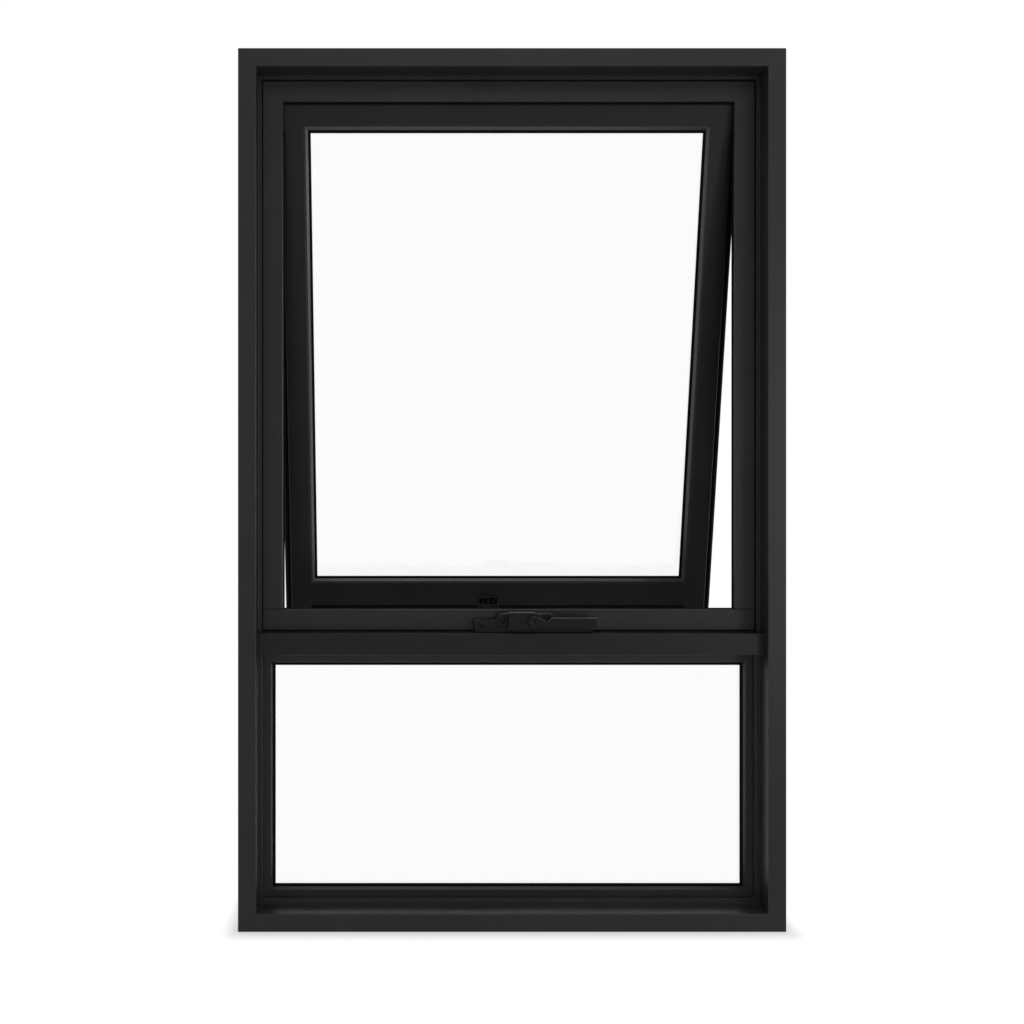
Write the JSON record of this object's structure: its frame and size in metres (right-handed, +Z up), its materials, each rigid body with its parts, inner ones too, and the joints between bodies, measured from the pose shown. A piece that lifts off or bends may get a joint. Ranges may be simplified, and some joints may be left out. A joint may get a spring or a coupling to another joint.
{
  "type": "awning window",
  "caption": "Black aluminium window with a top-hung awning sash held open by a chain winder, over a fixed glazed light, in a mitred outer frame.",
  "frame": {"origin": "underside of the outer sill, at the middle of its length and depth", "axes": "+X along the width to the right as seen from the room, +Y from the room to the outdoors, +Z up"},
  "size_m": [0.85, 0.2047, 1.37],
  "materials": {
    "black_frame": "satin black powder coat with a fine grain",
    "black_hardware": "satin black paint on die cast housings",
    "dark_steel": "blackened steel",
    "mill_aluminium": "dark anodised extrusion",
    "black_rubber": "matt black wedge gasket",
    "clear_glass": "clear float glass with polished faces"
  },
  "bodies": {
    "root": {"awning_frame_head": "black_frame", "awning_frame_left_jamb": "black_frame", "awning_frame_right_jamb": "black_frame", "awning_frame_sill": "black_frame", "chain_bracket": "black_hardware", "fixed_bead_bottom": "black_frame", "fixed_bead_left": "black_frame", "fixed_bead_right": "black_frame", "fixed_bead_top": "black_frame", "fixed_frame_bottom": "black_frame", "fixed_frame_left": "black_frame", "fixed_frame_right": "black_frame", "fixed_frame_top": "black_frame", "fixed_gasket": "black_rubber", "fixed_glass": "clear_glass", "hinge_hook": "mill_aluminium", "hinge_rail": "mill_aluminium", "outer_head": "black_frame", "outer_left_jamb": "black_frame", "outer_right_jamb": "black_frame", "outer_sill": "black_frame", "sash_bead_bottom": "black_frame", "sash_bead_left": "black_frame", "sash_bead_right": "black_frame", "sash_bead_top": "black_frame", "sash_bottom_rail": "black_frame", "sash_gasket": "black_rubber", "sash_glass": "clear_glass", "sash_left_stile": "black_frame", "sash_right_stile": "black_frame", "sash_top_rail": "black_frame", "transom": "black_frame", "winder_arm": "black_hardware", "winder_base": "black_hardware", "winder_chain": "dark_steel", "winder_handle": "black_hardware", "winder_pin": "dark_steel"}
  },
  "joints": []
}
